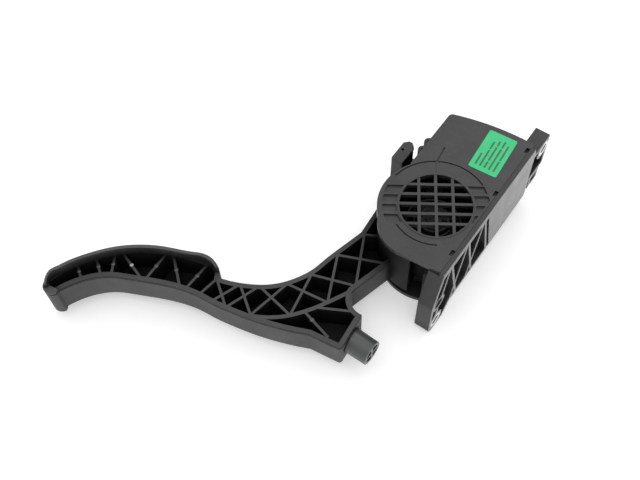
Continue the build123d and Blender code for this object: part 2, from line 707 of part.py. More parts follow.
def sensor_board():
    left, right, low, high = board_corners()
    tongue = CHAMBER_LEFT + SIDE_WALL + RUN_GAP
    plan = polygon(
        (tongue, TONGUE_LOW_Y), (tongue + TONGUE_WIDTH, TONGUE_LOW_Y), (tongue + TONGUE_WIDTH, low),
        (right, low), (right, high), (left, high), (left, low + TONGUE_WIDTH), (tongue, low + TONGUE_WIDTH),
    )
    return slab(plan, BOARD_Z, BOARD_Z + BOARD_THICKNESS)


def hall_sensors():
    """Two sensor chips hanging under the board over the magnet's path."""
    chips = []
    for side in (-0.5, 0.5):
        place = Pos(side * CHIP_SPACING, CHIP_Y, BOARD_Z - CHIP[2])
        chips.append(place * Box(*CHIP, align=UP))
    return Compound(chips)


def finger_frame():
    return Rot(0, 0, FINGER_ANGLE)


def finger_level():
    return WEB_TOP + FINGER_LIFT


def magnet_carrier():
    """Finger on the spring cup that carries the magnet under the sensors."""
    finger = Box(FINGER_REACH, FINGER_WIDTH, FINGER_THICKNESS, align=(Align.MIN, Align.CENTER, Align.MIN))
    finger = Pos(0, 0, finger_level()) * finger - post(CUP_RADIUS, ARM_LOW, CUP_TOP)
    return finger_frame() * (finger - magnet_block())


def magnet_block():
    top = finger_level() + FINGER_THICKNESS
    return Pos(MAGNET_REACH, 0, top - MAGNET[2]) * Box(*MAGNET, align=UP)


def magnet():
    return finger_frame() * magnet_block()


def sensor_seal():
    """Flat seal between the chamber walls and the cover."""
    chamber = chamber_outline()
    edge = SEAL_EDGE * SIDE_WALL
    plan = offset(chamber, -edge) - offset(chamber, edge - SIDE_WALL)
    return slab(plan, WALL_TOP, COVER_UNDER)


def rest_angle():
    """Angle of the face that the drum's upper end lies on at rest."""
    return DRUM_START - math.degrees(RUN_GAP / DRUM_RADIUS)


def full_angle():
    """Angle of the face that the drum's lower end meets at full travel."""
    return DRUM_END + TRAVEL + math.degrees(RUN_GAP / DRUM_RADIUS)


def rest_bumper():
    """Rubber block that the drum's end lies on at rest."""
    block = sector(STOP_INNER, STOP_OUTER, rest_angle() - BUMPER_SPAN, rest_angle())
    return slab(block, ARM_LOW, CUP_TOP)


def full_bumper():
    """Rubber block that the drum's other end meets at full travel."""
    block = sector(STOP_INNER, STOP_OUTER, full_angle(), full_angle() + BUMPER_SPAN)
    return slab(block, ARM_LOW, CUP_TOP)


def cover_outline():
    """Cover in plan: a disc over the hub run into the chamber's outline and the plate."""
    edge = PLATE_FRONT - FIT_GAP
    waist = (CHAMBER_LEFT, COVER_WAIST_Y)
    straight = sensor_end([waist, COVER_DISC, (edge, COVER_DISC[1])], edge)
    sides = Polyline(COVER_NOSE[-1], (edge, COVER_LOW_Y), (edge, waist[1]), COVER_DISC, COVER_NOSE[0])
    nose = make_face(smooth(COVER_NOSE) + list(sides.edges()))
    disc = Pos(*COVER_DISC) * Circle(COVER_DISC_RADIUS)
    return (disc + straight + nose) & left_of(edge)


def grille_bars(reach):
    """Crossed bars of the grille in plan, long enough to cover the given reach."""
    bars = []
    for k in range(-2, 3):
        bars.append(Pos(0, k * GRILLE_PITCH_A + GRILLE_SHIFT) * Rectangle(2 * reach, GRILLE_BAR))
    for k in (-1, 0, 1):
        bars.append(Pos(k * GRILLE_PITCH_B, 0) * Rectangle(GRILLE_BAR, 2 * reach))
    return [Rot(0, 0, GRILLE_TILT) * one for one in bars]


def polar(radius, angle):
    """Plan point at a radius and an angle in degrees."""
    return radius * math.cos(math.radians(angle)), radius * math.sin(math.radians(angle))


def cover_grooves():
    """Shallow grooves in the cover: under the grille, along the disc's rim, and the slit above it."""
    near_groove = sector(NEAR_GROOVE_RADIUS - GROOVE_WIDTH, NEAR_GROOVE_RADIUS, *NEAR_GROOVE_SPAN)
    rim_groove = sector(RIM_GROOVE_RADIUS - GROOVE_WIDTH, RIM_GROOVE_RADIUS, *RIM_GROOVE_SPAN)
    slit = bar(polar(RIM_GROOVE_RADIUS, RADIAL_ANGLE), SLIT_END, GROOVE_WIDTH)
    grooves = Part()
    for plan in (near_groove, rim_groove, slit):
        grooves += slab(plan, COVER_TOP - GROOVE_DEPTH, COVER_TOP)
    return grooves


def cover_notches():
    """Notches for the snap hooks, along the edge that meets the mounting plate."""
    notches = Part()
    for y in NOTCH_Y:
        plan = Pos(PLATE_FRONT - FIT_GAP, y) * Rectangle(2 * NOTCH_WIDTH, NOTCH_LENGTH)
        notches += slab(plan, COVER_TOP - NOTCH_DEPTH, COVER_TOP)
    return notches


def side_pockets():
    """Shallow pockets between the long bars, on both sides of the grille."""
    band = Circle(POCKET_REACH) - Circle(GRILLE_RADIUS + GRILLE_RING)
    belt = Pos(0, GRILLE_SHIFT) * Rectangle(4 * POCKET_REACH, 4 * GRILLE_PITCH_A)
    return band & Rot(0, 0, GRILLE_TILT) * belt & left_of(PLATE_FRONT - POCKET_EDGE)


def cover():
    """Cover plate with the grille, its lip, pockets and grooves, and the skirt round the disc."""
    outline = cover_outline()
    plate = slab(outline, COVER_UNDER, COVER_TOP)
    skirt_arc = sector(COVER_DISC_RADIUS - SKIRT_WALL, COVER_DISC_RADIUS, *SKIRT_SPAN)
    plate += slab(Pos(*COVER_DISC) * skirt_arc, COVER_UNDER - SKIRT_DEPTH, COVER_UNDER)
    holes = Circle(GRILLE_RADIUS) - grille_bars(GRILLE_RADIUS)
    plate -= slab(holes, COVER_UNDER, COVER_TOP)
    pockets = side_pockets() - grille_bars(2 * POCKET_REACH)
    plate -= slab(pockets, COVER_TOP - POCKET_DEPTH, COVER_TOP)
    plate -= cover_grooves()
    plate -= cover_notches()
    lip_radius = GRILLE_RADIUS + GRILLE_LIP
    rib_end = RIM_GROOVE_RADIUS - GROOVE_WIDTH - RADIAL_RIB / 2
    rib = bar(polar(lip_radius, RADIAL_ANGLE), polar(rib_end, RADIAL_ANGLE), RADIAL_RIB)
    plate += slab(rib, COVER_UNDER, COVER_TOP + LIP_HEIGHT)
    return plate + ring(lip_radius, GRILLE_RADIUS, COVER_UNDER, COVER_TOP + LIP_HEIGHT)


def label():
    plan = Rot(0, 0, LABEL_TILT) * RectangleRounded(*LABEL_SIZE, LABEL_CORNER)
    return slab(Pos(*LABEL_CENTRE) * plan, COVER_TOP, COVER_TOP + LABEL_THICKNESS)


def bush(low):
    return ring(BUSH_RADIUS, SHAFT_RADIUS + BORE_CLEARANCE, low, low + BUSH_LENGTH)


def washer(low):
    return ring(WASHER_RADIUS, SHAFT_RADIUS + BORE_CLEARANCE, low, low + WASHER_THICKNESS)


def pivot_shaft():
    shaft = post(SHAFT_RADIUS, BASE_UNDERSIDE + SHAFT_SEAT, SHAFT_TOP)
    return shaft - ring(SHAFT_RADIUS, SHAFT_RADIUS - CLIP_GROOVE, CLIP_Z, CLIP_Z + WASHER_THICKNESS)


def retaining_ring():
    """Open ring in the shaft's groove."""
    plan = sector(SHAFT_RADIUS - CLIP_GROOVE, CLIP_RADIUS, CLIP_OPENING / 2, 360 - CLIP_OPENING / 2)
    return slab(plan, CLIP_Z, CLIP_Z + WASHER_THICKNESS)


def coil(radius, wire, turns):
    """Torsion spring standing on the hub's web, its wire drawn as short straight runs."""
    rise = SPRING_HEIGHT - 2 * wire
    steps = turns * COIL_STEPS
    angles = [2 * math.pi * k / COIL_STEPS for k in range(steps + 1)]
    points = [(radius * math.cos(a), radius * math.sin(a)) for a in angles]
    path = Polyline(*[(x, y, rise * k / steps) for k, (x, y) in enumerate(points)])
    section = Plane(origin=path @ 0, z_dir=path % 0) * RegularPolygon(wire, COIL_SIDES)
    coiled = sweep(section, path, transition=Transition.RIGHT)
    return Pos(0, 0, WEB_TOP + wire + FIT_GAP) * coiled


def bolt_sleeve(centre):
    sleeve = Circle(SLEEVE_OUTER) - Circle(BOLT_HOLE)
    return back_slab(Pos(*centre) * sleeve, TAB_FRONT, WALL_TO_PIVOT)


def spring_sleeve():
    return ring(SLEEVE_RADIUS, SLEEVE_RADIUS - SLEEVE_WALL, WEB_TOP, WEB_TOP + SLEEVE_HEIGHT)


NODES = {
    "bracket": bracket(),
    "cover": cover(),
    "label": label(),
    "sensor_seal": sensor_seal(),
    "sensor_board": sensor_board(),
    "hall_sensors": hall_sensors(),
    "connector_socket": connector_socket(),
    "connector_pins": connector_pins(),
    "upper_bolt_sleeve": bolt_sleeve(UPPER_BOLT),
    "lower_bolt_sleeve": bolt_sleeve(LOWER_BOLT),
    "pivot_shaft": pivot_shaft(),
    "lower_thrust_washer": washer(SEAT_Z),
    "upper_thrust_washer": washer(TUBE_TOP + RUN_GAP),
    "retaining_ring": retaining_ring(),
    "friction_ring": ring(FRICTION_OUTER, FRICTION_INNER, LAND_Z, LAND_Z + FRICTION_THICKNESS),
    "rest_bumper": rest_bumper(),
    "full_travel_bumper": full_bumper(),
    "outer_return_spring": coil(OUTER_COIL, OUTER_WIRE, OUTER_TURNS),
    "inner_return_spring": coil(INNER_COIL, INNER_WIRE, INNER_TURNS),
    "pedal_arm": pedal_arm(),
    "stop_peg": stop_peg(),
    "lower_bush": bush(ARM_LOW),
    "upper_bush": bush(TUBE_TOP - BUSH_LENGTH),
    "spring_sleeve": spring_sleeve(),
    "magnet_carrier": magnet_carrier(),
    "magnet": magnet(),
}

os.makedirs("parts", exist_ok=True)
for name, shape in NODES.items():
    export_step(MOUNT_FRAME * shape, "parts/" + name + ".step")
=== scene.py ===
"""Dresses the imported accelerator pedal: finishes, print, mould marks, smooth springs and a white studio."""
import logging
import math
from dataclasses import dataclass
from enum import Enum
from typing import Iterable, Sequence, Tuple

import bmesh
import bpy
from mathutils import Matrix, Vector


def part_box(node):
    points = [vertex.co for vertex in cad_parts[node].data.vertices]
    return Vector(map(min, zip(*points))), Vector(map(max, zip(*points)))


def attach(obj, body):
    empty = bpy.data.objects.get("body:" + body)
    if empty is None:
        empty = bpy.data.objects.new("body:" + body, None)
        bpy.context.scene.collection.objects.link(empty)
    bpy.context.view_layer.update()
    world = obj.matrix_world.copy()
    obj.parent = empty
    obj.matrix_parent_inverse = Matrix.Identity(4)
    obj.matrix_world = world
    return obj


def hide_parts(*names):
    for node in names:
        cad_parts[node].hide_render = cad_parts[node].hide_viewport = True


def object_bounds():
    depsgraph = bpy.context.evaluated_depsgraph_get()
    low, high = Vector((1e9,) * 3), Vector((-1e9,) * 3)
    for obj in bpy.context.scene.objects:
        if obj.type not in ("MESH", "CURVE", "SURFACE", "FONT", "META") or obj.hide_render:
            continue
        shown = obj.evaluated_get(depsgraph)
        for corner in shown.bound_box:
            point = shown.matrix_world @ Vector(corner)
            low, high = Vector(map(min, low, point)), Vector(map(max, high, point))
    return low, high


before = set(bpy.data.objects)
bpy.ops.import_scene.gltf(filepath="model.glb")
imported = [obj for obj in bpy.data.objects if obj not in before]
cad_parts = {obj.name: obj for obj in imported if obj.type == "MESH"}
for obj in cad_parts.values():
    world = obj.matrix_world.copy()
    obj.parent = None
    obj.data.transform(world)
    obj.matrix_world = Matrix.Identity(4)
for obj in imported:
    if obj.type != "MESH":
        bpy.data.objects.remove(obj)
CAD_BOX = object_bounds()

LOG = logging.getLogger("accelerator_pedal")
MM = 0.001
PIVOT_X = -27.9 * MM
RIM_Z = 10.5 * MM
EDGE_DOTS = (0.99, 0.80)

Colour = Tuple[float, float, float]
Point = Tuple[float, float, float]


class Body(str, Enum):
    """The two bodies of the frame that a piece can ride on."""

    HOUSING = "housing"
    PEDAL = "pedal"


class LineAxis(str, Enum):
    """The axis that a turned piece's tool lines run round."""

    ACROSS = "X"
    UPRIGHT = "Z"


def grey(level: float, tint: Colour = (1.0, 1.0, 1.0)) -> Colour:
    """Returns a grey of the given linear level, tinted by channel."""
    return (level * tint[0], level * tint[1], level * tint[2])


class NodeKit:
    """Small helper that lays out the nodes of one material."""

    def __init__(self, name: str) -> None:
        """Starts an empty node material.

        Args:
            name: Name of the new material.
        """
        self.material = bpy.data.materials.new(name)
        self.material.use_nodes = True
        self.tree = self.material.node_tree
        self.tree.nodes.clear()
        self.output = self.tree.nodes.new("ShaderNodeOutputMaterial")
        self.place = self.add("ShaderNodeTexCoord").outputs["Object"]

    def add(self, kind: str, inputs: dict | None = None, **settings) -> bpy.types.Node:
        """Adds one node.

        Args:
            kind: Blender's name of the node type.
            inputs: Socket name or number to a value or an output socket.
            settings: Properties of the node itself.

        Returns:
            The new node.
        """
        node = self.tree.nodes.new(kind)
        for key, value in settings.items():
            setattr(node, key, value)
        for key, value in (inputs or {}).items():
            if isinstance(value, bpy.types.NodeSocket):
                self.tree.links.new(value, node.inputs[key])
            else:
                node.inputs[key].default_value = value
        return node

    def noise(self, scale: float, detail: float = 3.0, roughness: float = 0.55) -> bpy.types.NodeSocket:
        """Returns a noise value about the object's own coordinates; the scale is per metre."""
        inputs = {"Vector": self.place, "Scale": scale, "Detail": detail, "Roughness": roughness}
        return self.add("ShaderNodeTexNoise", inputs).outputs["Fac"]

    def span(self, value: bpy.types.NodeSocket, source: Tuple[float, float],
             target: Tuple[float, float]) -> bpy.types.NodeSocket:
        """Maps a value from one range to another, with clamping.

        Args:
            value: Socket to map.
            source: Lowest and highest incoming value.
            target: What those two become.

        Returns:
            The mapped socket.
        """
        inputs = {"Value": value, "From Min": source[0], "From Max": source[1],
                  "To Min": target[0], "To Max": target[1]}
        return self.add("ShaderNodeMapRange", inputs).outputs["Result"]

    def maths(self, operation: str, first, second) -> bpy.types.NodeSocket:
        """Returns the result of one operation on two values or sockets."""
        return self.add("ShaderNodeMath", {0: first, 1: second}, operation=operation).outputs[0]

    def blend(self, factor: bpy.types.NodeSocket, first, second) -> bpy.types.NodeSocket:
        """Mixes two colours or colour sockets.

        Args:
            factor: Share of the second one.
            first: Colour, or socket, at a factor of 0.
            second: Colour, or socket, at a factor of 1.

        Returns:
            The mixed colour socket.
        """
        node = self.add("ShaderNodeMix", {"Factor": factor}, data_type="RGBA")
        for socket, value in ((node.inputs[6], first), (node.inputs[7], second)):
            if isinstance(value, bpy.types.NodeSocket):
                self.tree.links.new(value, socket)
            else:
                socket.default_value = (*value, 1.0)
        return node.outputs[2]

    def worn_edges(self, radius: float) -> Tuple[bpy.types.NodeSocket, bpy.types.NodeSocket]:
        """Rounded-edge normal and a mask that is 1 on sharp edges.

        Args:
            radius: Radius of the rounding in metres.

        Returns:
            The normal socket and the mask socket.
        """
        rounded = self.add("ShaderNodeBevel", {"Radius": radius}, samples=6).outputs["Normal"]
        flat = self.add("ShaderNodeNewGeometry").outputs["Normal"]
        dot = self.add("ShaderNodeVectorMath", {0: rounded, 1: flat}, operation="DOT_PRODUCT")
        return rounded, self.span(dot.outputs["Value"], EDGE_DOTS, (0.0, 1.0))

    def bump(self, height: bpy.types.NodeSocket, distance: float, strength: float,
             normal: bpy.types.NodeSocket | None = None) -> bpy.types.NodeSocket:
        """Returns a normal that is raised and sunk by a height socket."""
        inputs = {"Height": height, "Distance": distance, "Strength": strength}
        if normal is not None:
            inputs["Normal"] = normal
        return self.add("ShaderNodeBump", inputs).outputs["Normal"]

    def finish(self, inputs: dict) -> bpy.types.Material:
        """Closes the material with one principled shader.

        Args:
            inputs: Sockets and values of that shader.

        Returns:
            The finished material.
        """
        shader = self.add("ShaderNodeBsdfPrincipled", inputs)
        self.tree.links.new(shader.outputs["BSDF"], self.output.inputs["Surface"])
        return self.material


@dataclass(frozen=True)
class MouldedPlastic:
    """Glass-filled moulding: spark grain, flow mottle, scuffed edges, dust, and painted shade in recesses and
    round the hub.
    """

    name: str
    colour: Colour
    pale: Colour
    roughness: float = 0.46
    gloss: float = 0.5
    grain: float = 2600.0
    grain_height: float = 0.00005
    edge_radius: float = 0.0004
    edge_share: float = 0.45
    dust: float = 0.08
    rubbed: bool = False
    rubbed_colour: Colour = (0.035, 0.035, 0.0345)
    rubbed_roughness: float = 0.27
    # Pale rims of the mounting face's ribs: edge wear, and partly a painted edge highlight.
    edge_colour: Colour = (0.50, 0.50, 0.49)
    # Painted shade: hollows and nearby parts darken the colour towards this share, by ambient occlusion.
    painted_recess_shade: float = 0.12
    painted_shade_span: Tuple[float, float] = (0.15, 0.8)
    own_shade: bool = False
    shade_reach: float = 0.025
    # Painted shade round the hub's drum under the cover: axis and reach, fade width and darkest share.
    hub: Tuple[float, float, float] | None = None
    hub_shade_fade: float = 0.003
    hub_shade_level: float = 0.08
    seam_level: float = 0.0
    seam_edges: Tuple[float, float] = (0.0004, 0.0008)
    mottle_scale: float = 38.0
    fibre_scale: float = 900.0
    dust_scale: float = 420.0
    scuff_scale: float = 160.0
    matt_scale: float = 60.0
    ripple_scale: float = 70.0

    def make(self) -> bpy.types.Material:
        """Returns the material."""
        kit = NodeKit(self.name)
        rounded, edge = kit.worn_edges(self.edge_radius)
        mottle = kit.span(kit.noise(self.mottle_scale, 4.0), (0.3, 0.7), (0.0, 1.0))
        body = kit.blend(mottle, grey(0.86, self.colour), grey(1.14, self.colour))
        fibres = kit.span(kit.noise(self.fibre_scale, 2.0), (0.62, 0.78), (0.0, 0.12))
        body = kit.blend(fibres, body, self.pale)
        facing = kit.add("ShaderNodeNewGeometry").outputs["Normal"]
        upward = kit.add("ShaderNodeSeparateXYZ", {0: facing}).outputs["Z"]
        settled = kit.span(upward, (0.6, 1.0), (0.0, self.dust))
        specks = kit.span(kit.noise(self.dust_scale, 6.0, 0.7), (0.52, 0.8), (0.0, 1.0))
        body = kit.blend(kit.maths("MULTIPLY", settled, specks), body, self.pale)
        scuffs = kit.span(kit.noise(self.scuff_scale, 4.0), (0.3, 0.7), (0.35, 1.0))
        wear = kit.maths("MULTIPLY", kit.maths("MULTIPLY", edge, scuffs), self.edge_share)
        body = kit.blend(wear, body, self.pale)
        # Painted shade in hollows and between parts, from ambient occlusion.
        open_sky = kit.add("ShaderNodeAmbientOcclusion", {"Distance": self.shade_reach}, samples=6,
                           only_local=self.own_shade).outputs["AO"]
        shade_and_seam_keep = kit.span(open_sky, self.painted_shade_span, (self.painted_recess_shade, 1.0))
        # Painted shade round the hub under the cover; the dark parting line is kept off the hub.
        if self.hub is not None:
            hub_shade = self.painted_hub_shade(kit)
            line = kit.maths("MAXIMUM", self.seam(kit), hub_shade)
            film = kit.span(hub_shade, (0.0, 1.0), (1.0, self.hub_shade_level))
            shade_and_seam_keep = kit.maths("MULTIPLY", shade_and_seam_keep, kit.maths("MULTIPLY", line, film))
        # The colour goes to near-black where shade is painted and along the parting line.
        body = kit.blend(shade_and_seam_keep, grey(0.03, self.colour), body)
        # Mounting face: streaky polish, and pale rib rims that are edge wear with a painted edge highlight.
        if self.rubbed:
            depth = kit.add("ShaderNodeSeparateXYZ", {0: kit.place}).outputs["X"]
            rim = kit.maths("MULTIPLY", kit.span(depth, (-0.0011, -0.0008), (0.0, 0.8)), edge)
            polish = self.rubbed_mask(kit)
            body = kit.blend(polish, body, self.rubbed_colour)
            body = kit.blend(rim, body, self.edge_colour)
        matt = kit.span(kit.noise(self.matt_scale, 5.0), (0.25, 0.75),
                        (self.roughness - 0.06, self.roughness + 0.08))
        if self.rubbed:
            keep = kit.span(polish, (0.0, 1.0), (1.0, self.rubbed_roughness / self.roughness))
            matt = kit.maths("MULTIPLY", matt, keep)
        pits = {"Vector": kit.place, "Scale": self.grain}
        cells = kit.add("ShaderNodeTexVoronoi", pits).outputs["Distance"]
        normal = kit.bump(cells, self.grain_height, 0.35, rounded)
        ripple = kit.bump(kit.noise(self.ripple_scale, 2.0), 0.0002, 0.12, normal)
        return kit.finish({"Base Color": body, "Roughness": matt, "Normal": ripple, "IOR": 1.5,
                           "Specular IOR Level": self.gloss})

    def seam(self, kit: NodeKit) -> bpy.types.NodeSocket:
        """Dark line along the mould's parting line, just under the rim.

        Args:
            kit: Node helper of the material.

        Returns:
            A socket that is 1 off the line and low on it.
        """
        height = kit.add("ShaderNodeSeparateXYZ", {0: kit.place}).outputs["Z"]
        away = kit.maths("ABSOLUTE", kit.maths("SUBTRACT", height, self.seam_level), 0.0)
        return kit.span(away, self.seam_edges, (0.0, 1.0))

    def painted_hub_shade(self, kit: NodeKit) -> bpy.types.NodeSocket:
        """Painted shade round the hub's axis, where the cover shades the drum.

        Args:
            kit: Node helper of the material.

        Returns:
            A socket that is 1 on the hub and 0 away from it.
        """
        axis_x, axis_y, reach = self.hub
        flat = kit.add("ShaderNodeMapping", {"Vector": kit.place, "Location": (-axis_x, -axis_y, 0.0),
                                             "Scale": (1.0, 1.0, 0.0)}).outputs[0]
        out = kit.add("ShaderNodeVectorMath", {0: flat}, operation="LENGTH").outputs["Value"]
        return kit.span(out, (reach, reach + self.hub_shade_fade), (1.0, 0.0))

    def rubbed_mask(self, kit: NodeKit) -> bpy.types.NodeSocket:
        """Streaky mask of the mounting face, which the bulkhead has polished.

        Args:
            kit: Node helper of the material.

        Returns:
            The mask socket.
        """
        depth = kit.add("ShaderNodeSeparateXYZ", {0: kit.place}).outputs["X"]
        facing = kit.add("ShaderNodeNewGeometry").outputs["Normal"]
        outward = kit.add("ShaderNodeSeparateXYZ", {0: facing}).outputs["X"]
        on_face = kit.span(depth, (-0.0004, -0.0002), (0.0, 1.0))
        outward = kit.span(outward, (0.8, 0.95), (0.0, 1.0))
        drawn = kit.add("ShaderNodeMapping", {"Vector": kit.place, "Scale": (1.0, 6.0, 0.4)}).outputs[0]
        strokes = {"Vector": drawn, "Scale": self.matt_scale, "Detail": 5.0}
        streaks = kit.add("ShaderNodeTexNoise", strokes).outputs["Fac"]
        worn = kit.span(streaks, (0.25, 0.75), (0.8, 1.0))
        return kit.maths("MULTIPLY", kit.maths("MULTIPLY", on_face, outward), worn)


@dataclass(frozen=True)
class TurnedMetal:
    """Metal with fine tool lines round an axis along X or Z, and faint stains."""

    name: str
    colour: Colour
    stain: Colour
    roughness: float
    line_scale: float
    line_axis: LineAxis = LineAxis.ACROSS
    stain_scale: float = 220.0

    def make(self) -> bpy.types.Material:
        """Returns the material."""
        kit = NodeKit(self.name)
        rounded, edge = kit.worn_edges(0.0003)
        waves = {"Vector": kit.place, "Scale": self.line_scale, "Distortion": 1.5, "Detail": 3.0}
        lines = kit.add("ShaderNodeTexWave", waves, bands_direction=self.line_axis.value).outputs["Fac"]
        stains = kit.span(kit.noise(self.stain_scale, 5.0), (0.45, 0.75), (0.0, 0.8))
        body = kit.blend(stains, self.colour, self.stain)
        body = kit.blend(kit.maths("MULTIPLY", edge, 0.4), body, grey(1.2, self.colour))
        matt = kit.span(kit.noise(self.stain_scale * 2, 4.0), (0.3, 0.7),
                        (self.roughness - 0.07, self.roughness + 0.1))
        normal = kit.bump(lines, 0.00003, 0.3, rounded)
        return kit.finish({"Base Color": body, "Roughness": matt, "Normal": normal, "Metallic": 1.0})


@dataclass(frozen=True)
class FilmLabel:
    """Printed film: even colour with a faint print raster, soft gloss and a slightly worn edge."""

    name: str
    colour: Colour
    pale: Colour
    raster: float = 1700.0

    def make(self) -> bpy.types.Material:
        """Returns the material."""
        kit = NodeKit(self.name)
        cloud = kit.span(kit.noise(90.0, 4.0), (0.3, 0.7), (0.0, 0.5))
        body = kit.blend(cloud, self.colour, self.pale)
        screen = {"Vector": kit.place, "Scale": self.raster}
        dots = kit.add("ShaderNodeTexVoronoi", screen).outputs["Distance"]
        body = kit.blend(kit.span(dots, (0.1, 0.6), (0.12, 0.0)), body, grey(0.7, self.colour))
        rounded, edge = kit.worn_edges(0.0002)
        body = kit.blend(kit.maths("MULTIPLY", edge, 0.35), body, self.pale)
        matt = kit.span(kit.noise(300.0, 3.0), (0.3, 0.7), (0.36, 0.5))
        normal = kit.bump(kit.noise(240.0, 3.0), 0.00005, 0.25, rounded)
        return kit.finish({"Base Color": body, "Roughness": matt, "Normal": normal, "IOR": 1.48})


@dataclass(frozen=True)
class SolderMask:
    """Circuit board: dark green mask over paler copper runs."""

    name: str
    colour: Colour
    copper: Colour

    def make(self) -> bpy.types.Material:
        """Returns the material."""
        kit = NodeKit(self.name)
        brick = {"Vector": kit.place, "Scale": 320.0, "Mortar Size": 0.06}
        runs = kit.add("ShaderNodeTexBrick", brick).outputs["Fac"]
        body = kit.blend(runs, self.colour, self.copper)
        cloud = kit.span(kit.noise(150.0, 3.0), (0.3, 0.7), (0.0, 0.4))
        body = kit.blend(cloud, body, grey(0.7, self.colour))
        normal = kit.bump(runs, 0.00004, 0.5)
        matt = kit.span(kit.noise(500.0, 3.0), (0.3, 0.7), (0.28, 0.42))
        return kit.finish({"Base Color": body, "Roughness": matt, "Normal": normal})


@dataclass(frozen=True)
class Rubber:
    """Moulded rubber: soft dark body with a bloom of pale powder."""

    name: str
    colour: Colour
    bloom: Colour

    def make(self) -> bpy.types.Material:
        """Returns the material."""
        kit = NodeKit(self.name)
        rounded, edge = kit.worn_edges(0.0005)
        powder = kit.span(kit.noise(260.0, 6.0), (0.5, 0.8), (0.0, 0.5))
        body = kit.blend(powder, self.colour, self.bloom)
        body = kit.blend(kit.maths("MULTIPLY", edge, 0.25), body, self.bloom)
        normal = kit.bump(kit.noise(1500.0, 3.0), 0.00006, 0.4, rounded)
        matt = kit.span(powder, (0.0, 0.5), (0.68, 0.9))
        return kit.finish({"Base Color": body, "Roughness": matt, "Normal": normal})


def new_piece(name: str, mesh_build: bmesh.types.BMesh, material: bpy.types.Material, body: Body,
              smooth: bool = True) -> bpy.types.Object:
    """Makes a scene object from a mesh under construction and lets it ride on a body.

    Args:
        name: Name of the piece.
        mesh_build: Mesh under construction, freed here.
        material: Its material.
        body: Body that it moves with.
        smooth: Whether its faces are shaded smooth.

    Returns:
        The new object.
    """
    mesh = bpy.data.meshes.new(name)
    bmesh.ops.recalc_face_normals(mesh_build, faces=mesh_build.faces)
    mesh_build.to_mesh(mesh)
    mesh_build.free()
    for face in mesh.polygons:
        face.use_smooth = smooth
    mesh.materials.append(material)
    piece = bpy.data.objects.new(name, mesh)
    bpy.context.scene.collection.objects.link(piece)
    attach(piece, body.value)
    LOG.info("piece %s: %d faces on %s", name, len(mesh.polygons), body.value)
    return piece


def add_tablet(build: bmesh.types.BMesh, centre: Point, size: Point, turn: float, corner: float) -> None:
    """Adds a thin tablet with bevelled upright corners to a mesh.

    Args:
        build: Mesh to add to.
        centre: Middle of the tablet's underside.
        size: Length, width and height.
        turn: Turn about Z in degrees.
        corner: Radius of its corners.
    """
    place = Matrix.Translation(Vector(centre)) @ Matrix.Rotation(math.radians(turn), 4, "Z")
    half = Vector((size[0] / 2 - corner, size[1] / 2 - corner))
    outline = []
    for quarter, (sx, sy) in enumerate(((1, 1), (-1, 1), (-1, -1), (1, -1))):
        for step in range(5):
            angle = math.radians(quarter * 90 + step * 22.5)
            outline.append((sx * half.x + corner * math.cos(angle), sy * half.y + corner * math.sin(angle)))
    low = [build.verts.new(place @ Vector((x, y, 0.0))) for x, y in outline]
    high = [build.verts.new(place @ Vector((x, y, size[2]))) for x, y in outline]
    build.faces.new(low[::-1])
    build.faces.new(high)
    for i in range(len(outline)):
        j = (i + 1) % len(outline)
        build.faces.new((low[i], low[j], high[j], high[i]))


def add_button(build: bmesh.types.BMesh, centre: Point, radius: float, height: float) -> None:
    """Adds a round mark with a turned-down rim to a mesh.

    Args:
        build: Mesh to add to.
        centre: Middle of its underside.
        radius: Its radius.
        height: Its height.
    """
    steps = 24
    profile = ((radius, 0.0), (radius, height * 0.6), (radius * 0.86, height), (radius * 0.5, height * 0.8))
    rings = []
    for reach, level in profile:
        rings.append([
            build.verts.new(Vector(centre) + Vector((reach * math.cos(2 * math.pi * k / steps),
                                                     reach * math.sin(2 * math.pi * k / steps), level)))
            for k in range(steps)
        ])
    for first, second in zip(rings, rings[1:]):
        for k in range(steps):
            build.faces.new((first[k], first[(k + 1) % steps], second[(k + 1) % steps], second[k]))
    build.faces.new(rings[0][::-1])
    build.faces.new(rings[-1])


